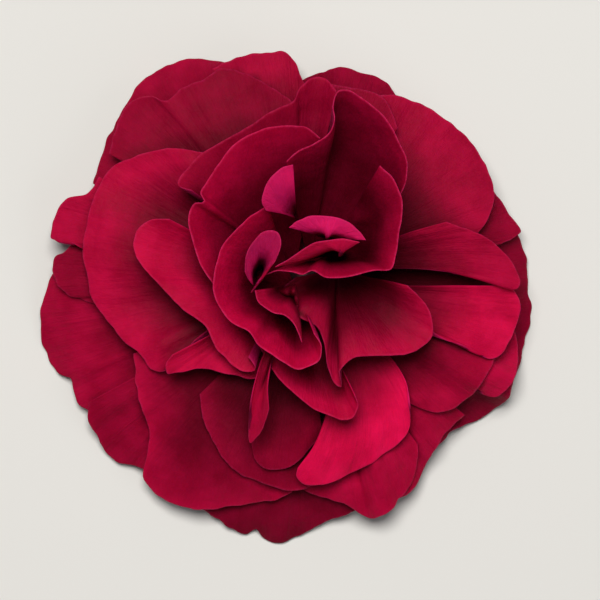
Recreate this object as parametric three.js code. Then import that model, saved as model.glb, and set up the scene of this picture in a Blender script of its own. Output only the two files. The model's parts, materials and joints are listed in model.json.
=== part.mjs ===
// A double impatiens bloom, picked and laid on its back, with its face up.
// Millimetres, +Z up. Every petal is one thin closed body that grows from a claw on the receptacle.
// The first petals listed lie lowest and outermost; each later one lies inside those before it.
import * as THREE from "three";

// ---------- driving dimensions, mm ----------
const HEART = [1.6, 1.8]; // where the petals grow from, seen from above
const CLAW_RADIUS = { outer: 2.6, inner: 0.9 }; // from the heart to the first and last petal's claw
const CLAW_HEIGHT = { outer: 4.3, inner: 8.6 };
const DOME_FROM = 6; // a rim listed above this height stands further up,
const DOMING = 0.5; // by this share of what it is above it
const PETAL_THICKNESS = 0.34;
const SEPAL_THICKNESS = 0.4;
const CLAW_ROWS = 6; // steps from a petal's claw to its rim
const LAYER_GAP = 0.64; // between the middles of two petals that lie on each other
const STEEPEST = 0.5; // a face steeper than this is cleared as if it rose only so much
const DEEPEST = 2.2; // a petal that is further under another than this belongs there
const SPREAD = 0.9; // how much of a rise its neighbours share
const SETTLE_ROUNDS = 12;
const SETTLED = 0.02;
const SMALLEST_PLAN_AREA = 0.002; // mm2; a smaller face stands upright
const REACH_SHARE = 0.36; // how far a petal keeps its first and last direction, as a share of its length
const STEM_RADIUS = 0.65;
const STEM_SIDES = 10;
const STEM_STEPS = 16;
const RECEPTACLE_SIDES = 14;
const DEGREES = Math.PI / 180;

// ---------- colours ----------
const CRIMSON = 0xa80c3c;
const BRIGHT_CRIMSON = 0xc4124a;
const MAGENTA = 0xa01c52;
const SEPAL_GREEN = 0x9db06a;
const SEPAL_CREAM = 0xd9d3b0;
const STEM_GREEN = 0x8f9a52;

// ---------- the petals ----------
// leave: how steeply the petal rises from its claw. lip: how steeply it rises at its rim, below zero
// where it droops. rim: the free edge, from one side of the petal round to the other, as x, y, height.
// via: where the petal's two sides bend, if it doesn't leave its claw straight towards its rim.
const PETALS = [
  // the back: these droop, and the bloom rests on them
  {
    name: "back_petal_top_left", leave: 12, lip: -40,
    rim: [[-2.8, 20.0, 2.6], [-5.0, 21.6, 1.8], [-6.9, 21.9, 1.2], [-8.8, 21.9, 0.8], [-11.0, 21.3, 0.4],
      [-12.9, 20.3, 0.3], [-14.4, 18.4, 0.8], [-15.9, 15.5, 1.6], [-17.0, 12.8, 2.0],
      [-17.5, 10.4, 2.8]],
  },
  {
    name: "back_petal_top_right", leave: 14, lip: -30,
    rim: [[10.6, 16.6, 3.0], [9.9, 18.4, 2.2], [9.3, 19.5, 1.6], [8.2, 20.3, 1.2], [6.8, 20.7, 2.0],
      [5.6, 21.1, 1.4], [4.6, 21.2, 1.0], [3.6, 20.8, 2.0], [2.6, 20.6, 2.4], [1.3, 19.8, 2.2]],
  },
  {
    name: "back_petal_left", leave: 10, lip: -35,
    rim: [[-20.2, 4.0, 3.2], [-21.3, 2.4, 2.6], [-21.9, 0.8, 2.0], [-22.4, -0.8, 1.4], [-22.5, -2.8, 0.8],
      [-22.2, -4.8, 0.5], [-21.5, -6.1, 0.5], [-20.6, -7.0, 0.8], [-19.8, -7.3, 1.4], [-19.5, -8.6, 1.1],
      [-18.9, -9.6, 1.0], [-17.6, -10.4, 1.8]],
  },
  {
    name: "back_petal_bottom_left", leave: 14, lip: -35,
    rim: [[-18.0, -9.4, 2.6], [-17.9, -11.1, 1.8], [-17.1, -12.6, 1.2], [-16.3, -14.2, 0.7],
      [-15.3, -14.9, 0.7], [-14.2, -15.1, 1.0], [-13.2, -15.4, 1.5], [-11.8, -16.4, 2.0]],
  },
  {
    name: "back_petal_bottom", leave: 12, lip: -35,
    rim: [[-9.4, -18.3, 2.4], [-7.4, -19.4, 1.6], [-5.0, -20.9, 0.8], [-3.7, -21.6, 0.5], [-2.8, -21.1, 1.0],
      [-2.3, -21.8, 0.6], [-1.0, -22.4, 0.3], [1.0, -21.7, 0.4], [2.8, -20.7, 0.8], [4.4, -20.0, 1.4],
      [6.8, -19.2, 2.2]],
  },
  {
    name: "back_petal_right", leave: 10, lip: -35,
    rim: [[20.4, -8.2, 2.4], [21.1, -6.6, 1.6], [21.7, -4.9, 1.0], [22.0, -3.3, 0.6], [22.4, -1.7, 0.4],
      [22.5, -0.6, 0.4], [22.1, 1.8, 0.8], [21.9, 4.2, 1.2], [21.3, 5.6, 1.8], [20.4, 7.2, 2.6]],
  },
  {
    name: "back_petal_bottom_right", leave: 14, lip: -35,
    rim: [[13.8, -13.4, 2.4], [15.2, -11.9, 1.4], [16.3, -11.5, 0.9], [17.5, -11.1, 0.5], [19.1, -10.1, 0.5],
      [20.3, -9.0, 0.9], [20.6, -7.4, 1.8]],
  },
  // the second ring
  {
    name: "outer_petal_top", leave: 20, lip: -10,
    rim: [[2.1, 18.2, 4.6], [1.3, 20.3, 4.6], [0.8, 21.5, 4.4], [-0.1, 22.4, 4.2], [-1.7, 22.3, 4.3],
      [-3.4, 22.2, 4.4], [-4.5, 21.9, 4.4], [-5.4, 21.6, 4.2], [-6.6, 20.8, 4.0]],
  },
  {
    name: "outer_petal_right_upper", leave: 16, lip: -25,
    rim: [[17.6, 5.0, 4.0], [19.6, 5.0, 3.6], [20.6, 5.4, 3.2], [21.2, 6.0, 2.8], [21.0, 6.9, 2.7],
      [20.0, 8.4, 3.0], [18.8, 9.9, 3.6], [17.8, 11.4, 4.2]],
  },
  {
    name: "outer_petal_left_lower", leave: 18, lip: -20,
    rim: [[-18.7, 5.6, 4.4], [-19.6, 4.9, 3.9], [-20.2, 4.2, 3.6], [-21.0, 3.9, 3.2], [-21.3, 2.8, 3.0],
      [-20.7, 1.2, 3.2], [-19.8, 0.3, 3.5], [-18.7, -0.1, 3.9], [-17.2, -0.5, 4.4]],
  },
  {
    name: "outer_petal_left_upper", leave: 20, lip: -6,
    rim: [[-17.0, 11.0, 4.4], [-18.0, 9.5, 4.6], [-19.2, 9.3, 4.6], [-20.2, 8.9, 4.4], [-20.9, 7.9, 4.2],
      [-21.3, 6.7, 4.0], [-21.4, 5.5, 4.0], [-20.4, 5.1, 4.2], [-19.2, 4.9, 4.6], [-17.8, 4.2, 4.8]],
  },
  {
    name: "outer_petal_bottom_right", leave: 16, lip: -28,
    rim: [[9.8, -18.2, 3.4], [11.2, -17.4, 2.6], [12.0, -16.4, 2.4], [12.6, -15.4, 2.4], [13.1, -14.3, 2.6],
      [13.8, -13.1, 2.9], [14.8, -12.0, 3.2], [16.2, -10.6, 3.8]],
  },
  {
    name: "outer_petal_bottom", leave: 16, lip: -25,
    rim: [[0.6, -16.6, 4.2], [2.0, -17.6, 3.8], [2.9, -18.0, 3.6], [3.9, -18.2, 3.4], [5.4, -18.6, 3.2],
      [6.8, -19.6, 2.6], [7.6, -19.9, 2.6], [8.4, -19.8, 3.2], [9.7, -19.0, 2.8], [10.6, -17.9, 2.8],
      [11.5, -16.5, 3.2], [12.0, -14.9, 3.8], [11.9, -13.2, 4.4]],
  },
  {
    name: "outer_petal_right_lower", leave: 16, lip: -20,
    rim: [[16.4, -7.4, 5.0], [17.9, -8.4, 4.4], [19.0, -8.9, 3.9], [20.0, -8.3, 3.5], [20.7, -7.1, 3.2],
      [21.1, -5.5, 3.2], [21.1, -4.2, 3.4], [20.6, -2.6, 4.0]],
  },
  {
    name: "outer_petal_bottom_left", leave: 18, lip: -30,
    rim: [[-13.9, -5.0, 5.6], [-13.8, -6.7, 5.0], [-13.1, -9.9, 4.2], [-12.4, -12.5, 3.8],
      [-12.8, -14.7, 3.2], [-13.0, -16.2, 2.7], [-12.3, -17.4, 2.4], [-11.1, -18.3, 2.4],
      [-9.9, -18.8, 2.6], [-8.1, -19.1, 2.8],
      [-4.9, -18.9, 3.2], [-1.5, -18.4, 3.6], [0.5, -17.5, 4.0]],
  },
  {
    name: "outer_petal_top_left", leave: 18, lip: -16,
    rim: [[0.9, 17.5, 6.4], [-0.8, 18.8, 6.0], [-2.4, 19.8, 5.7], [-3.6, 20.4, 5.5], [-5.9, 20.8, 5.2],
      [-7.5, 19.8, 5.3], [-9.3, 19.2, 5.1], [-10.7, 17.9, 5.5], [-12.3, 18.4, 4.8], [-14.3, 17.8, 4.4],
      [-15.4, 15.6, 4.6], [-16.1, 13.2, 5.0]],
  },
  // the third ring: the broad petals that make most of the face
  {
    name: "broad_petal_top_right", leave: 24, lip: -16,
    rim: [[17.0, 5.6, 6.4], [18.0, 6.9, 6.2], [18.6, 8.2, 5.9], [18.8, 9.7, 5.6], [18.4, 11.2, 5.4],
      [17.6, 12.8, 5.3], [16.6, 14.3, 5.3], [15.0, 15.8, 5.4], [12.9, 17.2, 5.6], [11.3, 17.9, 5.8],
      [9.6, 18.4, 6.2], [8.2, 18.4, 6.6]],
  },
  {
    name: "broad_petal_left", leave: 24, lip: -14,
    rim: [[-7.0, 13.0, 8.6], [-10.7, 13.5, 7.8], [-13.6, 12.8, 7.0], [-15.8, 11.8, 6.4], [-16.9, 10.2, 6.2],
      [-17.6, 8.2, 6.1], [-18.2, 6.0, 6.0], [-18.4, 4.0, 6.0], [-18.0, 2.4, 6.2], [-17.6, 0.2, 5.9],
      [-16.1, -2.0, 6.0], [-14.4, -4.0, 6.2], [-13.1, -5.0, 6.6], [-12.1, -6.4, 6.5], [-11.2, -6.6, 6.9],
      [-9.8, -5.6, 7.6], [-8.2, -3.6, 8.4]],
  },
  {
    name: "broad_petal_right_low", leave: 24, lip: -14,
    rim: [[9.4, -8.0, 6.6], [10.7, -9.1, 6.0], [11.9, -9.8, 5.6], [13.4, -10.2, 5.3], [14.7, -10.0, 5.1],
      [15.8, -9.4, 5.0], [16.8, -8.6, 5.1], [17.7, -7.5, 5.3], [18.5, -6.2, 5.0],
      [18.8, -4.4, 4.4]],
  },
  {
    name: "broad_petal_bottom_inner", leave: 28, lip: -8,
    rim: [[-7.8, -8.6, 6.4], [-7.5, -10.6, 6.0], [-6.6, -12.9, 5.6], [-5.4, -14.8, 5.2], [-4.2, -15.8, 5.0],
      [-2.6, -16.5, 4.9], [-1.0, -17.0, 4.9], [0.4, -17.4, 4.9], [2.2, -17.0, 5.2], [3.8, -15.8, 5.8]],
  },
  {
    name: "broad_petal_right", leave: 24, lip: -18,
    rim: [[12.2, -2.2, 8.8], [13.6, -3.2, 8.0], [14.8, -3.9, 7.6], [16.3, -4.5, 7.1], [17.4, -5.0, 6.7],
      [18.4, -5.4, 6.3], [19.2, -5.2, 6.0], [20.1, -3.8, 5.8], [20.8, -2.4, 5.8], [21.1, -1.0, 5.9],
      [20.9, 0.2, 6.1], [20.2, 1.2, 6.5]],
  },
  {
    name: "broad_petal_right_top", via: [[11.8, 4.0], [9.0, 5.6]], leave: 26, lip: -14,
    rim: [[20.0, 1.0, 6.8], [20.7, 0.9, 6.6], [21.0, 1.4, 6.5], [20.8, 2.2, 6.5], [20.3, 3.2, 6.6],
      [19.6, 4.2, 6.8], [18.7, 5.0, 7.0], [17.7, 5.7, 7.3], [16.2, 6.3, 7.7], [14.3, 6.9, 8.2]],
  },
  {
    name: "broad_petal_bottom_middle", leave: 26, lip: -10,
    rim: [[-3.2, -11.4, 7.0], [-3.1, -13.3, 6.6], [-2.9, -14.3, 6.4], [-2.2, -15.1, 6.2], [-1.2, -15.4, 6.2],
      [0.1, -15.2, 6.3], [1.1, -14.6, 6.6], [2.0, -13.6, 7.0], [3.2, -12.2, 7.4]],
  },
  {
    name: "broad_petal_bottom_right", via: [[8.8, -6.4], [11.6, -6.6]], leave: 26, lip: -24,
    rim: [[1.0, -15.3, 7.1], [0.9, -15.9, 6.9], [1.5, -16.7, 6.6], [2.7, -16.9, 6.5], [3.9, -16.7, 6.4],
      [6.8, -15.3, 6.2], [9.2, -13.7, 6.2], [10.9, -12.1, 6.4], [11.2, -11.0, 6.7], [11.0, -9.8, 7.1]],
  },
  {
    name: "small_petal_top", leave: 28, lip: 0,
    rim: [[10.0, 15.4, 7.6], [9.5, 16.8, 7.4], [8.8, 18.0, 7.2], [7.8, 18.5, 7.0], [6.5, 18.9, 7.0],
      [4.9, 19.1, 7.0], [3.9, 19.3, 7.2], [3.0, 18.6, 7.6]],
  },
  {
    name: "folded_petal_left_low", leave: 30, lip: -6,
    rim: [[-10.2, -4.9, 8.6], [-10.8, -5.9, 8.3], [-10.6, -6.7, 8.2], [-9.6, -6.6, 8.4], [-7.5, -6.2, 8.8],
      [-5.6, -6.6, 9.0], [-4.2, -6.9, 9.0], [-3.0, -7.2, 9.0], [-1.8, -6.8, 9.0]],
  },
  // the fourth ring: raised petals round the heart
  {
    name: "raised_petal_top_left", leave: 30, lip: 24,
    rim: [[4.4, 18.6, 9.8], [3.3, 19.7, 9.4], [2.2, 19.7, 9.4], [1.3, 18.8, 9.6], [0.6, 17.6, 9.8],
      [-1.2, 16.8, 10.0], [-3.7, 15.1, 10.2], [-5.3, 14.3, 10.3], [-6.8, 13.4, 10.3], [-8.7, 11.7, 10.3],
      [-9.6, 10.1, 10.2], [-8.4, 9.8, 10.4]],
  },
  {
    name: "spear_petal_left", leave: 32, lip: 16,
    rim: [[-10.5, 7.1, 10.2], [-12.0, 6.9, 10.0], [-13.2, 6.1, 9.8], [-13.6, 5.1, 9.7], [-13.4, 4.0, 9.7],
      [-12.3, 2.2, 9.8], [-10.7, 0.6, 9.9], [-9.2, -0.9, 10.0], [-7.2, -2.6, 10.2], [-6.3, -4.3, 10.3],
      [-5.3, -5.4, 10.4], [-3.8, -6.4, 10.5], [-3.0, -6.2, 10.7], [-3.4, -5.2, 10.8]],
  },
  {
    name: "cupped_petal_bottom", leave: 34, lip: 34,
    rim: [[-3.0, -3.2, 11.4], [-2.2, -4.7, 11.1], [-0.8, -6.9, 10.7], [1.5, -9.0, 10.2], [2.8, -10.0, 9.9],
      [4.0, -10.5, 9.7], [5.0, -10.8, 9.6], [5.9, -10.6, 9.7], [6.4, -9.7, 10.0], [6.2, -8.6, 10.4]],
  },
  {
    name: "narrow_petal_bottom", via: [[-4.0, -4.6], [-2.2, -5.0]], leave: 60, lip: -40,
    rim: [[-3.1, -10.6, 10.4], [-3.3, -12.0, 9.8], [-3.2, -12.9, 9.4], [-2.6, -12.3, 9.7],
      [-1.9, -11.0, 10.5], [-1.5, -9.8, 11.2]],
  },
  {
    name: "folded_petal_right", at: [4.4, 2.6], leave: 40, lip: 4,
    rim: [[0.9, 1.9, 11.9], [0.0, 1.3, 11.9], [-0.6, 0.2, 11.9], [-0.3, -0.8, 11.9], [1.2, -1.6, 12.3],
      [3.0, -2.6, 11.9], [3.7, -4.6, 11.5], [3.8, -6.3, 11.1], [4.3, -7.6, 10.7], [4.9, -7.9, 10.6],
      [4.9, -6.3, 10.9], [5.8, -5.4, 10.7], [7.9, -5.1, 10.3], [9.8, -5.1, 10.0], [11.2, -4.8, 9.7],
      [12.5, -4.0, 9.6], [13.1, -2.9, 9.6], [13.0, -1.6, 9.8], [12.3, -0.1, 10.1], [10.8, 1.2, 10.5]],
  },
  // the fifth ring: the steep cups
  {
    name: "cup_petal_top_left", leave: 34, lip: 44,
    rim: [[3.0, 14.2, 13.0], [1.8, 15.1, 12.8], [0.5, 15.3, 12.8], [-1.5, 15.1, 12.9], [-3.4, 14.4, 12.9],
      [-4.9, 13.3, 12.9], [-6.0, 11.8, 12.9], [-7.1, 10.2, 12.9], [-7.6, 9.2, 12.9], [-7.3, 8.6, 13.1],
      [-8.1, 8.4, 12.8], [-8.5, 7.5, 12.7], [-8.6, 6.4, 12.7], [-8.3, 5.3, 12.7], [-7.6, 3.2, 12.8],
      [-6.4, 1.2, 13.0]],
  },
  {
    name: "hood_petal", leave: 34, lip: 64,
    rim: [[9.8, 8.8, 13.4], [10.5, 10.3, 13.8], [10.6, 11.6, 14.2], [10.4, 12.6, 14.4], [9.9, 13.8, 14.6],
      [9.1, 15.4, 14.8], [8.1, 16.5, 15.0], [6.5, 17.6, 15.2], [5.3, 18.2, 15.4], [4.6, 18.1, 15.6],
      [4.2, 16.9, 15.6], [4.3, 15.7, 15.6], [4.0, 14.7, 15.5], [2.6, 13.7, 15.4], [1.3, 13.0, 15.2],
      [0.1, 12.0, 15.0]],
  },
  {
    name: "cup_petal_left", leave: 34, lip: 48,
    rim: [[-1.6, 8.2, 14.2], [-3.1, 7.3, 14.0], [-4.3, 6.1, 13.9], [-5.4, 4.8, 13.8], [-6.2, 2.7, 13.7],
      [-6.4, 0.9, 13.6], [-5.9, -0.7, 13.6], [-4.8, -2.0, 13.6], [-3.3, -2.8, 13.8], [-2.5, -4.0, 13.5],
      [-1.3, -4.9, 13.3], [0.0, -5.8, 13.1], [1.0, -6.3, 13.0], [2.1, -6.0, 13.0], [2.9, -5.4, 13.1],
      [3.1, -4.3, 13.4], [2.5, -3.0, 13.8]],
  },
  {
    name: "curled_petal_top", at: [0.9, 7.2], leave: 76, lip: 8,
    rim: [[0.6, 11.7, 16.4], [-0.3, 11.4, 16.3], [-1.2, 10.6, 16.2], [-1.9, 9.5, 15.9], [-2.1, 8.4, 15.6],
      [-1.7, 7.7, 15.3]],
  },
  {
    name: "cup_petal_right", at: [4.0, 4.6], leave: 40, lip: 46,
    rim: [[-1.8, 2.1, 15.0], [-0.7, 2.5, 15.0], [0.5, 2.4, 14.9], [1.5, 2.1, 14.8],
      [2.2, 2.4, 14.8], [3.5, 1.8, 14.7], [4.8, 1.9, 14.6], [6.0, 2.1, 14.5],
      [7.7, 2.4, 14.4], [9.3, 2.6, 14.3], [9.7, 3.9, 14.4], [9.9, 5.3, 14.6], [10.2, 8.1, 15.0],
      [10.0, 9.2, 15.2], [9.3, 10.5, 15.4], [8.2, 11.6, 15.4]],
  },
  // the heart
  {
    name: "heart_petal_left", at: [-2.8, 0.9], leave: 46, lip: 0,
    rim: [[-3.6, 2.4, 15.0], [-3.5, 3.8, 15.4], [-2.8, 5.0, 15.6], [-1.8, 5.9, 15.8], [-0.8, 5.8, 16.0],
      [-0.4, 4.8, 16.0], [-0.8, 3.6, 15.9], [-1.6, 2.6, 15.6], [-2.1, 1.7, 15.2]],
  },
  {
    name: "heart_petal_bottom", at: [0.8, 1.2], leave: 70, lip: 60,
    rim: [[-2.7, 0.7, 15.6], [-2.2, -0.5, 15.5], [-1.1, -1.2, 15.4], [-0.1, -1.4, 15.3], [0.6, -2.0, 15.2],
      [1.1, -3.0, 15.0], [1.4, -3.8, 14.8]],
  },
  {
    name: "heart_petal_top", at: [3.6, 5.4], leave: 60, lip: -4,
    rim: [[7.0, 5.2, 15.2], [6.2, 6.0, 15.6], [5.2, 6.8, 15.9], [3.9, 7.2, 16.1], [2.5, 7.2, 16.1],
      [1.3, 6.9, 15.9], [0.3, 6.2, 15.5]],
  },
  {
    name: "heart_petal_middle", at: [4.8, 4.1], leave: 44, lip: 16,
    rim: [[6.4, 5.0, 15.4], [5.2, 5.2, 15.7], [3.8, 5.1, 15.9], [2.4, 4.8, 16.0], [1.2, 4.1, 15.9],
      [0.0, 3.2, 15.7], [-0.9, 2.7, 15.4]],
  },
];

// Sepals, under the petals. They lie with the same face up.
const SEPALS = [
  {
    name: "lower_sepal", color: SEPAL_CREAM, at: [1.6, 0.4], height: 2.9, leave: -6, lip: -10,
    rim: [[-2.6, -3.2, 3.0], [-2.6, -5.6, 2.6], [-1.6, -8.2, 2.0], [0.2, -10.4, 1.5], [1.6, -11.2, 1.4],
      [3.0, -10.2, 1.5], [4.8, -8.0, 2.0], [5.8, -5.4, 2.6], [5.8, -3.0, 3.0]],
  },
  {
    name: "side_sepal_left", color: SEPAL_GREEN, at: [0.2, 2.4], height: 2.9, leave: 0, lip: -10,
    rim: [[-1.6, 4.6, 2.7], [-3.4, 4.8, 2.4], [-5.2, 4.0, 2.0], [-6.2, 3.2, 1.8], [-5.0, 2.4, 2.0],
      [-3.2, 1.6, 2.4], [-1.4, 1.4, 2.7]],
  },
  {
    name: "side_sepal_right", color: SEPAL_GREEN, at: [3.0, 2.4], height: 2.9, leave: 0, lip: -10,
    rim: [[4.6, 1.4, 2.7], [6.4, 1.6, 2.4], [8.2, 2.4, 2.0], [9.4, 3.2, 1.8], [8.4, 4.0, 2.0],
      [6.6, 4.8, 2.4], [4.8, 4.6, 2.7]],
  },
];

// The receptacle's outline from its foot up, as radius and height.
const RECEPTACLE = [[0, 1.9], [1.0, 2.0], [1.5, 2.9], [1.6, 3.9], [1.3, 4.9], [0.8, 5.6], [0, 5.9]];

// The stem's middle line, from under the receptacle to its cut end.
const STEM = [[1.6, 1.6, 1.45], [1.7, 0.4, 0.85], [2.4, -1.6, 0.66], [3.6, -4.6, 0.66], [5.6, -8.2, 0.66],
  [8.2, -11.4, 0.66]];

// ---------- shapes ----------
const vector2 = ([x, y]) => new THREE.Vector2(x, y);
const vector3 = ([x, y, z]) => new THREE.Vector3(x, y, z);

// One curve from the claw to a point of the rim, bent towards a point in plan on its way.
function rayTo(claw, end, bend, leave, lip) {
  const heading = (from, to, angle) => new THREE.Vector3(to.x - from.x, to.y - from.y, 0).normalize()
    .multiplyScalar(Math.cos(angle * DEGREES)).setZ(Math.sin(angle * DEGREES));
  const reach = REACH_SHARE * claw.distanceTo(end);
  const first = claw.clone().addScaledVector(heading(claw, bend ?? end, leave), reach);
  const last = end.clone().addScaledVector(heading(bend ?? claw, end, lip), -reach);
  return new THREE.CubicBezierCurve3(claw, first, last, end).getPoints(CLAW_ROWS);
}

// A petal's middle surface: rows from the claw to the rim, columns along the rim. The face is upward.
function middleSurface(petal, claw) {
  const turns = (p, q) => (p[0] - claw.x) * (q[1] - claw.y) - (p[1] - claw.y) * (q[0] - claw.x);
  const sweep = petal.rim.slice(1).reduce((sum, q, i) => sum + turns(petal.rim[i], q), 0);
  const rim = sweep > 0 ? petal.rim : [...petal.rim].reverse();
  const bends = petal.via && (sweep > 0 ? petal.via : [...petal.via].reverse());
  const columns = rim.map(([x, y, height], j) => {
    const doming = DOMING * Math.max(0, height - DOME_FROM);
    const bend = bends && vector2(bends[0]).lerp(vector2(bends[1]), j / (rim.length - 1));
    return rayTo(claw, new THREE.Vector3(x, y, height + doming), bend, petal.leave, petal.lip);
  });
  const rows = [];
  for (let i = 0; i <= CLAW_ROWS; i += 1) rows.push(columns.map((column) => column[i].clone()));
  return rows;
}

// The triangles of a grid whose first row is one point. The cell beside the last row's first
// point is split the other way, so that each of its triangles has a corner inside the grid.
function gridTriangles(rowCount, columnCount) {
  const list = [];
  for (let j = 0; j < columnCount; j += 1) list.push([[0, 0], [1, j], [1, j + 1]]);
  for (let i = 1; i < rowCount; i += 1) {
    for (let j = 0; j < columnCount; j += 1) {
      const [a, b, c, d] = [[i, j], [i + 1, j], [i + 1, j + 1], [i, j + 1]];
      if (i === rowCount - 1 && j === 0) list.push([a, b, d], [b, c, d]);
      else list.push([a, b, c], [a, c, d]);
    }
  }
  return list;
}

// The upward normal at each point of a middle surface.
function surfaceNormals(rows) {
  const last = rows.length - 1;
  const width = rows[0].length - 1;
  return rows.map((row, i) => row.map((_, j) => {
    const outward = rows[Math.min(i + 1, last)][j].clone().sub(rows[Math.max(i - 1, 0)][j]);
    const level = Math.max(i, 1);
    const across = rows[level][Math.min(j + 1, width)].clone().sub(rows[level][Math.max(j - 1, 0)]);
    return outward.cross(across).normalize();
  }));
}

// The closed thin body round a middle surface. Its two faces meet in the rim.
function thicken(rows, thickness) {
  const last = rows.length - 1;
  const width = rows[0].length - 1;
  const normals = surfaceNormals(rows);
  const inside = (i, j) => i > 0 && i < last && j > 0 && j < width;
  const positions = [];
  const triangles = gridTriangles(last, width);
  const corner = ([i, j], side) => {
    const shift = inside(i, j) ? (side * thickness) / 2 : 0;
    return rows[i][i === 0 ? 0 : j].clone().addScaledVector(normals[i][j], shift);
  };
  for (const [a, b, c] of triangles) {
    for (const p of [a, b, c]) positions.push(...corner(p, 1).toArray());
    for (const p of [a, c, b]) positions.push(...corner(p, -1).toArray());
  }
  const geometry = new THREE.BufferGeometry();
  geometry.setAttribute("position", new THREE.Float32BufferAttribute(positions, 3));
  geometry.computeVertexNormals();
  return geometry;
}

// ---------- laying each petal on those below it ----------
// A petal's faces seen in plan, each with its plane's rise, ready to be asked for a height.
function planFaces(rows) {
  return gridTriangles(rows.length - 1, rows[0].length - 1).map((corners) => {
    const [a, b, c] = corners.map(([i, j]) => rows[i][j]);
    const area = (b.x - a.x) * (c.y - a.y) - (c.x - a.x) * (b.y - a.y);
    const normal = b.clone().sub(a).cross(c.clone().sub(a)).normalize();
    return { corners, a, b, c, area, level: Math.abs(normal.z) };
  }).filter((face) => Math.abs(face.area) > SMALLEST_PLAN_AREA);
}

// Where the upright line through a point meets a face: the height there and the corners' weights.
function meet(face, point) {
  const { a, b, c, area } = face;
  const v = ((point.x - a.x) * (c.y - a.y) - (c.x - a.x) * (point.y - a.y)) / area;
  const w = ((b.x - a.x) * (point.y - a.y) - (point.x - a.x) * (b.y - a.y)) / area;
  if (v < 0 || w < 0 || v + w > 1) return null;
  return { height: a.z + v * (b.z - a.z) + w * (c.z - a.z), weights: [1 - v - w, v, w] };
}

// How far the upper of two surfaces must rise where they are less than a layer apart.
function shortOf(upper, lower, face) {
  const gap = LAYER_GAP / Math.max(face.level, STEEPEST);
  const clear = upper - lower;
  return clear > -DEEPEST && clear < gap ? gap - clear : 0;
}

// Raises a petal's surface off every surface below it. Only heights change, never the plan.
function settle(rows, below) {
  const last = rows.length - 1;
  const width = rows[0].length - 1;
  const box = new THREE.Box3().setFromPoints(rows.flat());
  const near = below.filter((surface) => surface.box.intersectsBox(box));
  for (let round = 0; round < SETTLE_ROUNDS; round += 1) {
    const rises = rows.map((row) => row.map(() => 0));
    const raise = (i, j, amount) => {
      rises[i][j] = Math.max(rises[i][j], amount);
    };
    const own = planFaces(rows);
    for (const surface of near) {
      rows.forEach((row, i) => row.forEach((point, j) => {
        for (const face of surface.faces) {
          const hit = meet(face, point);
          if (hit) raise(i, j, shortOf(point.z, hit.height, face));
        }
      }));
      surface.rows.flat().forEach((point) => {
        for (const face of own) {
          const hit = meet(face, point);
          const short = hit ? shortOf(hit.height, point.z, face) : 0;
          if (short > 0) face.corners.forEach(([i, j]) => raise(i, j, short));
        }
      });
    }
    const rise = (i, j) => rises[Math.min(Math.max(i, 0), last)][Math.min(Math.max(j, 0), width)];
    rows.forEach((row, i) => row.forEach((point, j) => {
      const around = rise(i - 1, j) + rise(i + 1, j) + rise(i, j - 1) + rise(i, j + 1);
      point.z += Math.max(rises[i][j], (SPREAD * around) / 4);
    }));
    const claw = Math.max(...rows[0].map((point) => point.z));
    rows[0].forEach((point) => point.setZ(claw));
    if (Math.max(...rises.flat()) < SETTLED) return;
  }
}

// ---------- the bloom ----------
const bloom = new THREE.Group();

function addPiece(name, geometry, color) {
  const material = new THREE.MeshStandardMaterial({ color, roughness: 0.6, metalness: 0 });
  const mesh = new THREE.Mesh(geometry, material);
  mesh.name = name;
  bloom.add(mesh);
  return mesh;
}

// The middle of the rim's sweep, seen from the heart, tells which side of the receptacle a claw is on.
function clawOf(petal, order, count) {
  const share = order / (count - 1);
  const radius = THREE.MathUtils.lerp(CLAW_RADIUS.outer, CLAW_RADIUS.inner, share);
  const height = THREE.MathUtils.lerp(CLAW_HEIGHT.outer, CLAW_HEIGHT.inner, share);
  if (petal.at) return new THREE.Vector3(petal.at[0], petal.at[1], petal.height ?? height);
  const middle = petal.rim.reduce((sum, [x, y]) => sum.add(new THREE.Vector2(x, y)), new THREE.Vector2())
    .divideScalar(petal.rim.length).sub(new THREE.Vector2(...HEART)).normalize();
  return new THREE.Vector3(HEART[0] + middle.x * radius, HEART[1] + middle.y * radius, height);
}

function colorOf(petal) {
  if (petal.name.startsWith("heart")) return MAGENTA;
  return /^(broad|outer)/.test(petal.name) ? BRIGHT_CRIMSON : CRIMSON;
}

function addPetals() {
  const below = [];
  PETALS.forEach((petal, order) => {
    const rows = middleSurface(petal, clawOf(petal, order, PETALS.length));
    settle(rows, below);
    const box = new THREE.Box3().setFromPoints(rows.flat()).expandByScalar(LAYER_GAP);
    below.push({ rows, box, faces: planFaces(rows) });
    addPiece(petal.name, thicken(rows, PETAL_THICKNESS), colorOf(petal));
  });
}

function addSepals() {
  for (const sepal of SEPALS) {
    const rows = middleSurface(sepal, clawOf(sepal, 0, PETALS.length));
    addPiece(sepal.name, thicken(rows, SEPAL_THICKNESS), sepal.color);
  }
}

function addReceptacle() {
  const outline = RECEPTACLE.map(([radius, height]) => new THREE.Vector2(radius, height));
  const geometry = new THREE.LatheGeometry(outline, RECEPTACLE_SIDES);
  geometry.rotateX(Math.PI / 2); // the lathe turns about Y; this stands it up
  geometry.translate(HEART[0], HEART[1], 0);
  addPiece("receptacle", geometry, STEM_GREEN);
}

function addStem() {
  const section = new THREE.Shape();
  section.absarc(0, 0, STEM_RADIUS, 0, 2 * Math.PI);
  const path = new THREE.CatmullRomCurve3(STEM.map(vector3));
  const geometry = new THREE.ExtrudeGeometry(section, {
    steps: STEM_STEPS,
    curveSegments: STEM_SIDES,
    extrudePath: path,
  });
  addPiece("stem", geometry, STEM_GREEN);
}

addPetals();
addSepals();
addReceptacle();
addStem();

// The origin is under the middle of the bloom's box, on the surface that it lies on.
const box = new THREE.Box3().setFromObject(bloom, true);
const centre = box.getCenter(new THREE.Vector3());
bloom.children.forEach((mesh) => mesh.position.set(-centre.x, -centre.y, -box.min.z));

export default bloom;
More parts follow.
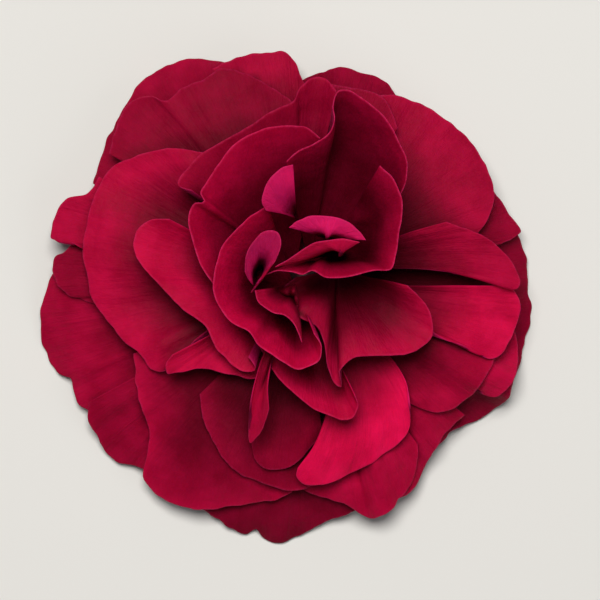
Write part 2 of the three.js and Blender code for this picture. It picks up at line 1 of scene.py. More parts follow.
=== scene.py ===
"""A double impatiens bloom, picked and laid face up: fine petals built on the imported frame."""
import json
import math

import bmesh
import bpy
import numpy as np
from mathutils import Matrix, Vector, noise
from mathutils.bvhtree import BVHTree


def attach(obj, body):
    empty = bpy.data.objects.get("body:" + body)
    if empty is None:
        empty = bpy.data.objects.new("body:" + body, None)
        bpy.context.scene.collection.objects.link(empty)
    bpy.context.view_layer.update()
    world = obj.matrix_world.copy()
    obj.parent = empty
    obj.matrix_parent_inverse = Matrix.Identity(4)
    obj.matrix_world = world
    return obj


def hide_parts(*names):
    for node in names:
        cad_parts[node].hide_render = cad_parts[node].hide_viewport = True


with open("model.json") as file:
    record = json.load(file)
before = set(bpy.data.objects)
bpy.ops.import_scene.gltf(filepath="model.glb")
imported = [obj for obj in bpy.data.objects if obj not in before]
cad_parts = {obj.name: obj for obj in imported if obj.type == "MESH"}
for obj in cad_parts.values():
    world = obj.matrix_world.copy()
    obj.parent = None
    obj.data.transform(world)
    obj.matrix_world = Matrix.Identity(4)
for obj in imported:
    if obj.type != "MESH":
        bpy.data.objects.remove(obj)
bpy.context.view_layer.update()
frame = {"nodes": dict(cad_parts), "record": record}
MM = 0.001

# ---------- how fine, and how thick ----------
FINE_ROWS = 56  # from claw to rim
FINE_COLUMNS = 76  # along the rim
EVEN_SHARE = 0.35  # this share of the rows' spacing is even, and the rest draws them in to the rim
DRAWN_TO_RIM = 1.5  # the power by which it does so
THICKNESS = 0.24 * MM
RIM_THICKNESS = 0.08 * MM
TAPER_WIDTH = 1.6 * MM  # a petal thins over this last stretch before its rim
TAPER_CURVE = 0.6
SAME_PLACE = 1e-6  # corners of a CAD node this close are one point
SAME_CLAW = 2e-6  # and so are points of a fine petal
NO_LENGTH = 1e-12  # a shorter vector has no direction

# ---------- the camera ----------
CAMERA_HEIGHT = 0.42
FRAME_WIDTH = 0.0543  # what the view spans at the height of the petals
FRAME_LEVEL = 0.006  # that height
FRAME_CENTRE = (0.00123, -0.00011)
SENSOR = 36.0
NEAREST = 0.01


# ---------- reading a petal's middle surface back from its CAD node ----------
def welded(node):
    """The node's points and triangles, with the corners that its faces share merged."""
    mesh = bmesh.new()
    mesh.from_mesh(frame["nodes"][node].data)
    bmesh.ops.remove_doubles(mesh, verts=mesh.verts, dist=SAME_PLACE)
    mesh.verts.index_update()
    points = np.array([v.co[:] for v in mesh.verts])
    faces = [tuple(v.index for v in f.verts) for f in mesh.faces]
    mesh.free()
    return points, faces


def grid_cells(rows, columns):
    """The triangles of a petal's grid, whose first row is one point."""
    cells = [((0, 0), (1, j), (1, j + 1)) for j in range(columns)]
    for i in range(1, rows):
        for j in range(columns):
            a, b, c, d = (i, j), (i + 1, j), (i + 1, j + 1), (i, j + 1)
            if i == rows - 1 and j == 0:
                cells += [(a, b, d), (b, c, d)]
            else:
                cells += [(a, b, c), (a, c, d)]
    return cells


def petal_pattern(rows, columns):
    """A petal's closed surface as triangles of (row, column, side), the upper side first."""
    def key(cell, side):
        i, j = cell
        if i == 0:
            return (0, 0, 0)
        inside = i < rows and 0 < j < columns
        return (i, j, side if inside else 0)

    faces = []
    for a, b, c in grid_cells(rows, columns):
        faces.append((key(a, 0), key(b, 0), key(c, 0)))
        faces.append((key(a, 1), key(c, 1), key(b, 1)))
    return faces


def walk(faces, first, second):
    """Visits a closed surface from one edge on. Two surfaces of one pattern give the same steps."""
    beside = {}
    for a, b, c in faces:
        beside[a, b], beside[b, c], beside[c, a] = c, a, b
    order = {first: 0, second: 1}
    queue = [(first, second)]
    seen = {queue[0]}
    steps = []
    for a, b in queue:
        c = beside[a, b]
        order.setdefault(c, len(order))
        steps.append(order[c])
        for edge in ((c, b), (a, c)):
            if edge not in seen:
                seen.add(edge)
                queue.append(edge)
    return list(order), steps


def middle_surface(node):
    """A petal's middle surface as an array of rows, columns and x, y, z."""
    points, faces = welded(node)
    count = np.bincount(np.array(faces).ravel())
    claw = int(count.argmax())
    columns = int(count[claw]) // 2
    rows = (len(points) + columns - 2) // (2 * columns)
    names, wanted = walk(petal_pattern(rows, columns), (0, 0, 0), (1, 0, 0))
    around = sorted({v for f in faces if claw in f for v in f} - {claw})
    for start in around:
        found, steps = walk(faces, claw, start)
        if steps == wanted:
            break
    else:
        raise RuntimeError(f"{node} isn't a petal grid of {rows} rows and {columns} columns")
    place = dict(zip(names, found))
    grid = np.zeros((rows + 1, columns + 1, 3))
    for i in range(rows + 1):
        for j in range(columns + 1):
            upper = place[(i, j, 0) if i else (0, 0, 0)]
            lower = place.get((i, j, 1), upper)
            grid[i, j] = (points[upper] + points[lower]) / 2
    return grid


# ---------- a smooth fine surface through the grid ----------
def knots_along(grid):
    """How far apart the grid's rows lie on average, as shares of the whole."""
    steps = np.linalg.norm(np.diff(grid, axis=0), axis=2).mean(axis=1)
    knots = np.concatenate([[0.0], np.cumsum(steps)])
    return knots / knots[-1]


def smooth_through(values, knots, at):
    """A smooth curve through values at the knots, for each place in at."""
    slopes = np.gradient(values, knots, axis=0)
    k = np.clip(np.searchsorted(knots, at, side="right") - 1, 0, len(knots) - 2)
    span = knots[k + 1] - knots[k]
    t = ((at - knots[k]) / span).reshape((-1,) + (1,) * (values.ndim - 1))
    span = span.reshape(t.shape)
    return (
        (1 + 2 * t) * (1 - t) ** 2 * values[k]
        + t * (1 - t) ** 2 * span * slopes[k]
        + t * t * (3 - 2 * t) * values[k + 1]
        + t * t * (t - 1) * span * slopes[k + 1]
    )


def refined(grid):
    """The grid's surface with FINE_ROWS by FINE_COLUMNS cells, finer towards the rim."""
    down = np.linspace(0, 1, FINE_ROWS + 1)
    down = EVEN_SHARE * down + (1 - EVEN_SHARE) * (1 - (1 - down) ** DRAWN_TO_RIM)
    across = np.linspace(0, 1, FINE_COLUMNS + 1)
    fine = smooth_through(grid, knots_along(grid), down)
    turned = fine.transpose(1, 0, 2)
    rim = grid.transpose(1, 0, 2)[:, 2:]
    return smooth_through(turned, knots_along(rim), across).transpose(1, 0, 2)


def unit(vectors):
    """The same directions at length 1. A vector of no length stays as it is."""
    return vectors / np.maximum(np.linalg.norm(vectors, axis=-1, keepdims=True), NO_LENGTH)


def normals_of(surface):
    """The upward normal at each point of a surface."""
    down = np.gradient(surface, axis=0)
    across = np.gradient(surface, axis=1)
    across[0] = across[1]
    return unit(np.cross(down, across))


def from_rim(surface):
    """How far each point is from the petal's rim, in metres."""
    down = np.linalg.norm(np.diff(surface, axis=0), axis=2)
    return np.concatenate([np.cumsum(down[::-1], axis=0)[::-1], np.zeros((1, down.shape[1]))])


def from_edge(surface):
    """How far each point is from the petal's rim or one of its sides, in metres."""
    to_rim = from_rim(surface)
    across = np.linalg.norm(np.diff(surface, axis=1), axis=2)
    left = np.concatenate([np.zeros((across.shape[0], 1)), np.cumsum(across, axis=1)], axis=1)
    right = left[:, -1:] - left
    return np.minimum(to_rim, np.minimum(left, right))


# How large the features of each kind are. A fan's own are in mm of rim, and fan out from the claw.
SWELL_SIZE = 4.5 * MM
RIPPLE_SIZE = 1.3
WAVE_SIZE = 2.6
NIBBLE_SIZE = 0.9
FAN_LENGTH = 2.0  # mm of noise along a whole petal
RIPPLE_ONSET = 1.5  # ripples grow towards the rim by this power
WAVE_REACH = 2.2 * MM  # waves and nibbles die away over this much from the edge
NIBBLE_REACH = 0.5 * MM
RIPPLE_SEED, WAVE_SEED, NIBBLE_SEED = 20, 40, 60
SEED_SHIFT = (3.1, 1.7, 2.3)  # how far each seed moves through the noise


def wander(points, size, seed):
    """Smooth noise between about -1 and 1 at each point, with features of that size."""
    shift = Vector([seed * part for part in SEED_SHIFT])
    flat = points.reshape(-1, 3) / size
    values = [noise.noise(Vector(p) + shift) for p in flat]
    return np.array(values).reshape(points.shape[:-1])


def ruffled(surface, look, seed):
    """The surface with a petal's soft swells, fanning ripples and wavy rim."""
    rows, columns = surface.shape[:2]
    down = np.linspace(0, 1, rows)[:, None] * np.ones((1, columns))
    normals = normals_of(surface)
    edge = from_edge(surface)
    across = np.linspace(0, 1, columns)[None, :] * np.ones((rows, 1))
    width = np.linalg.norm(np.diff(surface[-1], axis=0), axis=1).sum()
    fan = np.stack([across * width / MM, down * FAN_LENGTH, 0 * down + seed], axis=2)
    swell = wander(surface, SWELL_SIZE, seed) * look["swell"] * down
    ripple = wander(fan, RIPPLE_SIZE, seed + RIPPLE_SEED) * look["ripple"] * down ** RIPPLE_ONSET
    wave = wander(fan, WAVE_SIZE, seed + WAVE_SEED) * look["wave"] * np.exp(-edge / WAVE_REACH)
    surface = surface + normals * ((swell + ripple + wave) * MM)[:, :, None]
    outward = unit(np.gradient(surface, axis=0))
    nibble = wander(fan, NIBBLE_SIZE, seed + NIBBLE_SEED) * look["nibble"]
    nibble *= np.exp(-edge / NIBBLE_REACH)
    return surface + outward * (nibble * MM)[:, :, None]


# ---------- how much sky each part of a petal sees, painted into its colour as shade ---
SKY_RAYS = 40
SKY_REACH = 14 * MM
SKY_START = 0.5 * MM  # a ray starts this far off the petal, clear of its own CAD body
SKY_STEP = 4  # every fourth point is asked, and those between share the answers


def sky_directions():
    """Directions spread evenly over the upper half, closer together towards straight up."""
    turn = math.pi * (3 - math.sqrt(5))  # the golden angle, so that no two line up
    directions = []
    for k in range(SKY_RAYS):
        flat = math.sqrt((k + 0.5) / SKY_RAYS)
        up = math.sqrt(1 - flat * flat)
        directions.append(Vector((flat * math.cos(k * turn), flat * math.sin(k * turn), up)))
    return directions


def solid_tree():
    """Every CAD body as one tree that a ray can be asked against."""
    points, faces = [], []
    for node in sorted(frame["nodes"]):
        mesh = frame["nodes"][node].data
        start = len(points)
        points += [v.co[:] for v in mesh.vertices]
        faces += [tuple(start + v for v in polygon.vertices) for polygon in mesh.polygons]
    return BVHTree.FromPolygons(points, faces)


def sky_share_for_painted_shade(surface, tree, directions):
    """What share of the sky each point of a petal's upper face sees, which darkens its colour as
    painted shade.
    """
    rows, columns = surface.shape[:2]
    i = np.unique(np.append(np.arange(0, rows, SKY_STEP), rows - 1))
    j = np.unique(np.append(np.arange(0, columns, SKY_STEP), columns - 1))
    starts = surface + normals_of(surface) * SKY_START
    asked = np.zeros((len(i), len(j)))
    for a, row in enumerate(i):
        for b, column in enumerate(j):
            start = Vector(starts[row, column])
            clear = sum(tree.ray_cast(start, way, SKY_REACH)[0] is None for way in directions)
            asked[a, b] = clear / len(directions)
    along_rows = np.array([np.interp(np.arange(rows), i, column) for column in asked.T]).T
    return np.array([np.interp(np.arange(columns), j, row) for row in along_rows])


# ---------- the petal's closed body ----------
def petal_body(surface):
    """A petal's closed body: its points, its faces, and which surface points its border follows."""
    rows, columns = surface.shape[:2]
    normals = normals_of(surface)
    taper = np.clip(from_edge(surface) / TAPER_WIDTH, 0, 1) ** TAPER_CURVE
    half = (RIM_THICKNESS + (THICKNESS - RIM_THICKNESS) * taper)[:, :, None] / 2
    upper = surface + normals * half
    lower = surface - normals * half
    past_rim = surface[-1] + unit(np.gradient(surface, axis=0)[-1]) * RIM_THICKNESS / 2
    past_left = surface[:, 0] + unit(surface[:, 0] - surface[:, 1]) * RIM_THICKNESS / 2
    past_right = surface[:, -1] + unit(surface[:, -1] - surface[:, -2]) * RIM_THICKNESS / 2
    border = np.concatenate([past_left, past_rim[1:], past_right[-2::-1]])
    points = np.concatenate([upper.reshape(-1, 3), lower.reshape(-1, 3), border])

    below = rows * columns
    index = np.arange(below).reshape(rows, columns)
    ring = np.concatenate([index[:, 0], index[-1, 1:], index[-2::-1, -1]])
    edge = 2 * below + np.arange(len(ring))
    a, b, c, d = index[:-1, :-1], index[1:, :-1], index[1:, 1:], index[:-1, 1:]
    top = np.stack([a, b, c, d], axis=2).reshape(-1, 4)
    bottom = np.stack([a, d, c, b], axis=2).reshape(-1, 4) + below
    upper_rim = np.stack([ring[:-1], edge[:-1], edge[1:], ring[1:]], axis=1)
    lower_rim = np.stack([ring[:-1] + below, ring[1:] + below, edge[1:], edge[:-1]], axis=1)
    return points, np.concatenate([top, bottom, upper_rim, lower_rim]), ring


def petal_values(node, surface, ring, sky):
    """What the petal's material reads, with a number for each point of the body."""
    rows, columns = surface.shape[:2]
    down = np.repeat(np.linspace(0, 1, rows), columns)
    base_end = DEEP_BASES_AND_PAINTED_SHADE.get(node, USUAL_BASE)
    side = np.concatenate([np.ones(len(down)), np.zeros(len(down)), np.full(len(ring), 0.5)])
    # Each petal's painted light and shade, and its painted shade between petals and at the claw, go
    # in here too
    values = {
        "side": 1 - side if node in TURNED else side,
        "painted_light_tone": np.full(len(side), PAINTED_LIGHT_AND_SHADE_TONES.get(node, 1.0)),
    }
    for label, number in (
        ("rim_mm", from_rim(surface).ravel() / MM),
        ("sky", sky.ravel()),
        ("base_and_painted_shade", np.clip((base_end - down) / (BASE_SPREAD * base_end), 0, 1)),
        ("down", down),
        ("across", np.tile(np.linspace(0, 1, columns), rows)),
    ):
        values[label] = np.concatenate([number, number, number[ring]])
    return values


def add_petal(name, node, material, look, seed, tree, directions):
    surface = ruffled(refined(middle_surface(node)), look, seed)
    # The share of sky each point sees, later painted into the colour as shade
    sky = sky_share_for_painted_shade(surface, tree, directions)
    points, faces, ring = petal_body(surface)
    mesh = bpy.data.meshes.new(name)
    mesh.from_pydata(points.tolist(), [], faces.tolist())
    for label, values in petal_values(node, surface, ring, sky).items():
        layer = mesh.attributes.new(label, "FLOAT", "POINT")
        layer.data.foreach_set("value", values.astype(np.float32))
    weld(mesh)
    mesh.polygons.foreach_set("use_smooth", [True] * len(mesh.polygons))
    piece = bpy.data.objects.new(name, mesh)
    bpy.context.scene.collection.objects.link(piece)
    piece.data.materials.append(material)
    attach(piece, "root")
    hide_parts(node)


def weld(mesh):
    """Joins the points of the claw, where a petal's first row is one place."""
    work = bmesh.new()
    work.from_mesh(mesh)
    bmesh.ops.remove_doubles(work, verts=work.verts, dist=SAME_CLAW)
    bmesh.ops.recalc_face_normals(work, faces=work.faces)
    work.to_mesh(mesh)
    work.free()


# ---------- materials ----------
class Nodes:
    """A small helper that adds shader nodes and links them."""

    def __init__(self, name):
        self.material = bpy.data.materials.new(name)
        self.material.use_nodes = True
        self.tree = self.material.node_tree
        self.shader = self.tree.nodes["Principled BSDF"]

    def add(self, kind, inputs=None, **settings):
        node = self.tree.nodes.new(kind)
        for key, value in settings.items():
            setattr(node, key, value)
        for key, value in (inputs or {}).items():
            self.put(node.inputs[key], value)
        return node

    def put(self, socket, value):
        if isinstance(value, bpy.types.NodeSocket):
            self.tree.links.new(value, socket)
        else:
            socket.default_value = value

    def attribute(self, name):
        return self.add("ShaderNodeAttribute", attribute_name=name).outputs["Fac"]

    def math(self, operation, a, b=0.0):
        node = self.add("ShaderNodeMath", operation=operation)
        self.put(node.inputs[0], a)
        self.put(node.inputs[1], b)
        return node.outputs[0]

    def ramp(self, value, low, high, to_low=0.0, to_high=1.0):
        node = self.add("ShaderNodeMapRange", clamp=True)
        for key, number in (("Value", value), ("From Min", low), ("From Max", high),
                            ("To Min", to_low), ("To Max", to_high)):
            self.put(node.inputs[key], number)
        return node.outputs["Result"]

    def mix(self, share, a, b, blend="MIX"):
        node = self.add("ShaderNodeMix", data_type="RGBA", blend_type=blend)
        self.put(node.inputs[0], share)
        self.put(node.inputs[6], a)
        self.put(node.inputs[7], b)
        return node.outputs[2]

    def noise(self, vector, scale, detail, rough):
        settings = {"Scale": scale, "Detail": detail, "Roughness": rough}
        node = self.add("ShaderNodeTexNoise", settings)
        self.put(node.inputs["Vector"], vector)
        return node.outputs["Fac"]

    def bump(self, height, distance, strength, normal=None):
        node = self.add("ShaderNodeBump", {"Strength": strength, "Distance": distance})
        self.put(node.inputs["Height"], height)
        if normal is not None:
            self.put(node.inputs["Normal"], normal)
        return node.outputs["Normal"]

    def set_inputs(self, **numbers):
        """Sets the shader's own sockets, with _ for a space in their names."""
        for key, number in numbers.items():
            self.shader.inputs[key.replace("_", " ")].default_value = number


def rgb(red, green, blue):
    return (red, green, blue, 1.0)


# ---------- the colours ----------
FRONT = rgb(0.49, 0.0013, 0.038)
BACK = rgb(0.50, 0.007, 0.090)
# the colour of the painted highlight along a petal's rim
RIM_HIGHLIGHT = rgb(0.66, 0.025, 0.13)
BRIGHT = rgb(0.84, 0.008, 0.105)
DEEP_CRIMSON = rgb(0.06, 0.001, 0.006)
NEARLY_BLACK = rgb(0.03, 0.004, 0.008)
DEEPER = rgb(0.70, 0.50, 0.75)  # what a colour is multiplied by in its deeper places
PAINTED_SHADE_AND_DEEP_BASE = rgb(0.20, 0.10, 0.18)  # and for painted shade where other petals close it in, and at the claw's darker base
STEM = rgb(0.22, 0.28, 0.07)
FLOOR = rgb(0.78, 0.77, 0.74)

# Each petal material's name, how strong its painted rim highlight is, and the seed of its noise.
PETALS = {
    "petal": ("crimson_petal", 0.30, 1),
    "inner_petal": ("inner_petal", 0.55, 2),
    "back_petal": ("back_petal", 0.16, 3),
}
# Each green material's base, rib and blotch.
GREENS = {
    "cream_sepal": (rgb(0.70, 0.66, 0.44), rgb(0.36, 0.42, 0.10), rgb(0.66, 0.52, 0.42)),
    "green_sepal": (rgb(0.20, 0.30, 0.06), rgb(0.12, 0.20, 0.03), rgb(0.26, 0.34, 0.10)),
    "stem": (STEM, rgb(0.16, 0.22, 0.04), rgb(0.36, 0.16, 0.08)),
}

# ---------- the grain of each surface ----------
# Noises are a scale, a detail and a roughness. Those of the veins run along the fan from the claw.
FAN_ACROSS = 26.0
FAN_DOWN = 1.6
VEINS = (2.4, 4.0, 0.62)
FINE_VEINS = (7.0, 3.0, 0.6)
CELLS = (9000.0, 2.0, 0.6)
CLOUD = (330.0, 3.0, 0.55)
CREASES = (900.0, 4.0, 0.6)
GREEN_CLOUD = (420.0, 4.0, 0.6)
GREEN_GRAIN = (3200.0, 3.0, 0.6)
RECEPTACLE_CLOUD = (900.0, 4.0, 0.6)

# Bumps are a height and a strength.
CELL_BUMP = (0.014 * MM, 0.7)
FINE_VEIN_BUMP = (0.05 * MM, 0.6)
VEIN_BUMP = (0.16 * MM, 0.7)
CREASE_BUMP = (0.16 * MM, 0.8)
GRAIN_BUMP = (0.03 * MM, 0.6)
RIB_BUMP = (0.12 * MM, 0.7)
RECEPTACLE_BUMP = (0.1 * MM, 0.6)

BRIGHT_SHARE = 0.4
CLOUD_SHARE = 0.55
RIM_HIGHLIGHT_WIDTH = (0.01, 0.20)  # mm: the painted highlight on a petal's rim fades out between these
FLUSH_HEIGHT = (3.0 * MM, 4.2 * MM)  # the receptacle turns from green to crimson between these
FLUSH_RAGGED = 1.2 * MM


def petal_material(name, rim_highlight_strength, seed):
    nodes = Nodes(name)
    place = nodes.add("ShaderNodeTexCoord").outputs["Object"]
    fan = nodes.add("ShaderNodeCombineXYZ")
    nodes.put(fan.inputs["X"], nodes.math("MULTIPLY", nodes.attribute("across"), FAN_ACROSS))
    nodes.put(fan.inputs["Y"], nodes.math("MULTIPLY", nodes.attribute("down"), FAN_DOWN))
    nodes.put(fan.inputs["Z"], float(seed))
    veins = nodes.noise(fan.outputs[0], *VEINS)
    fine_veins = nodes.noise(fan.outputs[0], *FINE_VEINS)
    cells = nodes.noise(place, *CELLS)
    cloud = nodes.noise(place, *CLOUD)
    creases = nodes.noise(place, *CREASES)

    # The front or the back's own colour, clouded, then veined and grained
    base = nodes.mix(nodes.attribute("side"), BACK, FRONT)
    deep = nodes.mix(1.0, base, DEEPER, "MULTIPLY")
    light = nodes.mix(BRIGHT_SHARE, base, BRIGHT)
    color = nodes.mix(nodes.ramp(cloud, 0.36, 0.66), deep, light)
    color = nodes.mix(CLOUD_SHARE, base, color)
    color = nodes.mix(nodes.ramp(veins, 0.52, 0.72, 0.0, 0.30), color, deep)
    color = nodes.mix(nodes.ramp(fine_veins, 0.5, 0.75, 0.0, 0.22), color, light)
    color = nodes.mix(nodes.ramp(cells, 0.4, 0.7, 0.0, 0.22), color, light)

    # Painted shade where other petals close it in, a darker base towards its claw (partly its own
    # colour, partly painted shade), then each petal's painted light and shade
    shade = nodes.mix(1.0, color, PAINTED_SHADE_AND_DEEP_BASE, "MULTIPLY")
    color = nodes.mix(nodes.ramp(nodes.attribute("sky"), 0.16, 0.82, 0.95, 0.0), color, shade)
    color = nodes.mix(nodes.ramp(nodes.attribute("base_and_painted_shade"), 0.0, 1.0, 0.0, 0.85), color, shade)
    color = nodes.mix(1.0, color, nodes.attribute("painted_light_tone"), "MULTIPLY")

    # A painted highlight along the rim, broken up by the veins
    rim = nodes.ramp(nodes.attribute("rim_mm"), *RIM_HIGHLIGHT_WIDTH, rim_highlight_strength, 0.0)
    rim = nodes.math("MULTIPLY", rim, nodes.ramp(veins, 0.35, 0.6, 0.15, 1.0))
    color = nodes.mix(rim, color, RIM_HIGHLIGHT)
    nodes.put(nodes.shader.inputs["Base Color"], color)
    nodes.put(nodes.shader.inputs["Roughness"], nodes.ramp(cloud, 0.3, 0.7, 0.5, 0.62))

    relief = nodes.bump(cells, *CELL_BUMP)
    relief = nodes.bump(fine_veins, *FINE_VEIN_BUMP, relief)
    relief = nodes.bump(veins, *VEIN_BUMP, relief)
    relief = nodes.bump(creases, *CREASE_BUMP, relief)
    nodes.put(nodes.shader.inputs["Normal"], relief)
    nodes.set_inputs(
        Specular_IOR_Level=0.05,
        Subsurface_Weight=0.22,
        Subsurface_Radius=(1.0, 0.12, 0.22),
        Subsurface_Scale=0.5 * MM,
    )
    return nodes.material


def green_material(name, base, rib, blotch):
    """A green with soft blotches, fine grain and a rib along its middle."""
    nodes = Nodes(name)
    place = nodes.add("ShaderNodeTexCoord").outputs["Object"]
    cloud = nodes.noise(place, *GREEN_CLOUD)
    grain = nodes.noise(place, *GREEN_GRAIN)
    middle = nodes.math("ABSOLUTE", nodes.math("SUBTRACT", nodes.attribute("across"), 0.5))
    color = nodes.mix(nodes.ramp(cloud, 0.35, 0.7), base, blotch)
    color = nodes.mix(nodes.ramp(middle, 0.02, 0.10, 0.85, 0.0), color, rib)
    color = nodes.mix(nodes.ramp(grain, 0.45, 0.7, 0.0, 0.25), color, rib)
    nodes.put(nodes.shader.inputs["Base Color"], color)
    nodes.put(nodes.shader.inputs["Roughness"], nodes.ramp(grain, 0.3, 0.7, 0.38, 0.55))
    relief = nodes.bump(grain, *GRAIN_BUMP)
    relief = nodes.bump(nodes.ramp(middle, 0.0, 0.08, 1.0, 0.0), *RIB_BUMP, relief)
    nodes.put(nodes.shader.inputs["Normal"], relief)
    nodes.set_inputs(
        Subsurface_Weight=0.15, Subsurface_Radius=(0.6, 0.8, 0.2), Subsurface_Scale=0.4 * MM)
    return nodes.material


def receptacle_material():
    """Green at its foot, and dark crimson where the petals grow from it."""
    nodes = Nodes("receptacle")
    place = nodes.add("ShaderNodeTexCoord").outputs["Object"]
    height = nodes.add("ShaderNodeSeparateXYZ", {"Vector": place}).outputs["Z"]
    cloud = nodes.noise(place, *RECEPTACLE_CLOUD)
    ragged = nodes.math("ADD", height, nodes.math("MULTIPLY", cloud, FLUSH_RAGGED))
    color = nodes.mix(nodes.ramp(ragged, *FLUSH_HEIGHT), STEM, DEEP_CRIMSON)
    color = nodes.mix(nodes.ramp(cloud, 0.4, 0.7, 0.0, 0.5), color, NEARLY_BLACK)
    nodes.put(nodes.shader.inputs["Base Color"], color)
    nodes.put(nodes.shader.inputs["Roughness"], nodes.ramp(cloud, 0.3, 0.7, 0.55, 0.75))
    nodes.put(nodes.shader.inputs["Normal"], nodes.bump(cloud, *RECEPTACLE_BUMP))
    return nodes.material


# ---------- the stem and receptacle ----------
FLAT_WITHIN = math.radians(30)  # two triangles this flat to each other become one face
SQUARE_WITHIN = math.radians(60)  # if its corners are this near to square
SMOOTH_LEVELS = 2


def smooth_copy(node, name, material):
    """A node's own shape with its facets smoothed away."""
    mesh = bpy.data.meshes.new(name)
    work = bmesh.new()
    work.from_mesh(frame["nodes"][node].data)
    bmesh.ops.remove_doubles(work, verts=work.verts, dist=SAME_PLACE)
    bmesh.ops.join_triangles(
        work, faces=work.faces,
        angle_face_threshold=FLAT_WITHIN, angle_shape_threshold=SQUARE_WITHIN)
    work.to_mesh(mesh)
    work.free()
    piece = bpy.data.objects.new(name, mesh)
    bpy.context.scene.collection.objects.link(piece)
    piece.modifiers.new("smooth", "SUBSURF").levels = SMOOTH_LEVELS
    bpy.context.view_layer.update()
    depsgraph = bpy.context.evaluated_depsgraph_get()
    done = bpy.data.meshes.new_from_object(piece.evaluated_get(depsgraph))
    piece.modifiers.clear()
    piece.data = done
    done.polygons.foreach_set("use_smooth", [True] * len(done.polygons))
    done.materials.clear()
    done.materials.append(material)
    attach(piece, "root")
    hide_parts(node)


# ---------- how the petals differ ----------
# How far, in mm, each kind of petal swells, ripples, waves at its rim and is nibbled there.
LOOKS = {
    "outer": {"swell": 0.34, "ripple": 0.22, "wave": 0.42, "nibble": 0.14},
    "broad": {"swell": 0.26, "ripple": 0.18, "wave": 0.32, "nibble": 0.11},
    "inner": {"swell": 0.14, "ripple": 0.07, "wave": 0.18, "nibble": 0.07},
}

# A petal darkens towards its claw, partly its own deeper base colour and partly painted shade where
# it lies deep in the bloom. This share of its length from the claw is where that begins.
USUAL_BASE = 0.70
BASE_SPREAD = 0.40  # it is at its darkest once this much of that share has been passed
DEEP_BASES_AND_PAINTED_SHADE = {
    "outer_petal_bottom_left": 0.98, "broad_petal_bottom_inner": 1.0, "broad_petal_left": 0.84,
    "folded_petal_right": 0.90, "cup_petal_right": 0.97, "hood_petal": 0.90,
    "broad_petal_right_low": 0.82, "cupped_petal_bottom": 0.86, "broad_petal_bottom_middle": 0.86,
    "cup_petal_top_left": 0.80, "heart_petal_left": 0.10, "curled_petal_top": 0.40,
    "heart_petal_top": 0.35,
}

# These petals show their paler backs upwards.
TURNED = ("curled_petal_top", "heart_petal_top", "heart_petal_left")

# Painted light and shade: what each petal's colour is multiplied by, lighter where light falls on
# it and darker in shade, where that isn't 1.
PAINTED_LIGHT_AND_SHADE_TONES = {
    "back_petal_top_left": 0.75, "back_petal_top_right": 0.62, "back_petal_left": 0.78,
    "back_petal_bottom_left": 0.66, "back_petal_bottom": 0.40, "back_petal_right": 0.60,
    "back_petal_bottom_right": 0.55,
    "outer_petal_top": 0.78, "outer_petal_right_upper": 0.62, "outer_petal_left_lower": 0.62,
    "outer_petal_left_upper": 0.85, "outer_petal_bottom_right": 0.80, "outer_petal_bottom": 0.90,
    "outer_petal_right_lower": 0.95, "outer_petal_bottom_left": 0.90, "outer_petal_top_left": 0.56,
    "broad_petal_top_right": 0.73, "broad_petal_left": 0.90, "broad_petal_right_low": 0.80,
    "broad_petal_bottom_inner": 0.60, "broad_petal_right": 1.18, "broad_petal_right_top": 0.80,
    "broad_petal_bottom_middle": 0.58, "broad_petal_bottom_right": 1.50, "small_petal_top": 0.60,
    "raised_petal_top_left": 0.66, "folded_petal_right": 0.85, "spear_petal_left": 0.98,
    "hood_petal": 0.72, "cup_petal_top_left": 0.85, "cup_petal_right": 0.80,
    "curled_petal_top": 1.12, "heart_petal_top": 1.35, "heart_petal_middle": 0.95,
    "heart_petal_left": 0.76,
}


# ---------- the whole bloom ----------
def look_of(node):
    if node.startswith(("back_", "outer_")):
        return LOOKS["outer"]
    if node.startswith(("broad_", "small_", "folded_", "raised_", "spear_")):
        return LOOKS["broad"]
    return LOOKS["inner"]


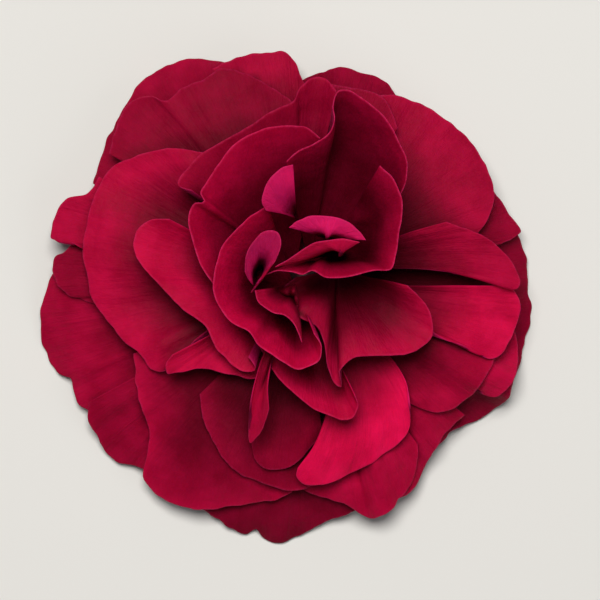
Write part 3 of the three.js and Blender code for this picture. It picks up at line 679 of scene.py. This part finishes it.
def build_bloom():
    slots = {entry["node"]: entry["material_slot"] for entry in frame["record"]["subparts"]}
    materials = {kind: petal_material(*settings) for kind, settings in PETALS.items()}
    materials.update({kind: green_material(kind, *colors) for kind, colors in GREENS.items()})
    tree = solid_tree()
    directions = sky_directions()
    for seed, node in enumerate(sorted(frame["nodes"])):
        slot = slots[node]
        if node == "stem":
            smooth_copy(node, "stem_surface", materials[slot])
        elif node == "receptacle":
            smooth_copy(node, "receptacle_surface", receptacle_material())
        else:
            look = look_of(node)
            add_petal(f"{node}_surface", node, materials[slot], look, seed, tree, directions)


# ---------- the floor, light and camera ----------
FLOOR_SIZE = 1.2
LIGHTS = {
    "key": {"place": (-0.03, 0.16, 0.56), "size": 0.26, "power": 3.2, "color": (1.0, 0.98, 0.95)},
    "fill": {"place": (0.35, -0.25, 0.40), "size": 0.45, "power": 0.35, "color": (0.95, 0.97, 1.0)},
}
SKY_COLOR = rgb(0.92, 0.96, 1.0)
SKY_STRENGTH = 0.09


def build_stage():
    bpy.ops.mesh.primitive_plane_add(size=FLOOR_SIZE, location=(0, 0, 0))
    floor = bpy.context.object
    floor.name = "floor"
    nodes = Nodes("floor")
    nodes.set_inputs(Base_Color=FLOOR, Roughness=0.9)
    floor.data.materials.append(nodes.material)


def add_light(name, place, size, power, color):
    data = bpy.data.lights.new(name, "AREA")
    data.shape = "DISK"
    data.size = size
    data.energy = power
    data.color = color
    light = bpy.data.objects.new(name, data)
    light.location = place
    light.rotation_euler = (-Vector(place)).to_track_quat("-Z", "Y").to_euler()
    bpy.context.scene.collection.objects.link(light)


def build_light():
    world = bpy.data.worlds.new("studio")
    world.use_nodes = True
    background = world.node_tree.nodes["Background"]
    background.inputs["Color"].default_value = SKY_COLOR
    background.inputs["Strength"].default_value = SKY_STRENGTH
    bpy.context.scene.world = world
    for name, light in LIGHTS.items():
        add_light(name, **light)


def build_camera():
    data = bpy.data.cameras.new("camera")
    data.sensor_width = SENSOR
    data.lens = SENSOR * (CAMERA_HEIGHT - FRAME_LEVEL) / FRAME_WIDTH
    data.clip_start = NEAREST
    camera = bpy.data.objects.new("camera", data)
    camera.location = (*FRAME_CENTRE, CAMERA_HEIGHT)
    bpy.context.scene.collection.objects.link(camera)
    bpy.context.scene.camera = camera
    bpy.context.scene.view_settings.view_transform = "Standard"


build_stage()
build_light()
build_camera()
build_bloom()
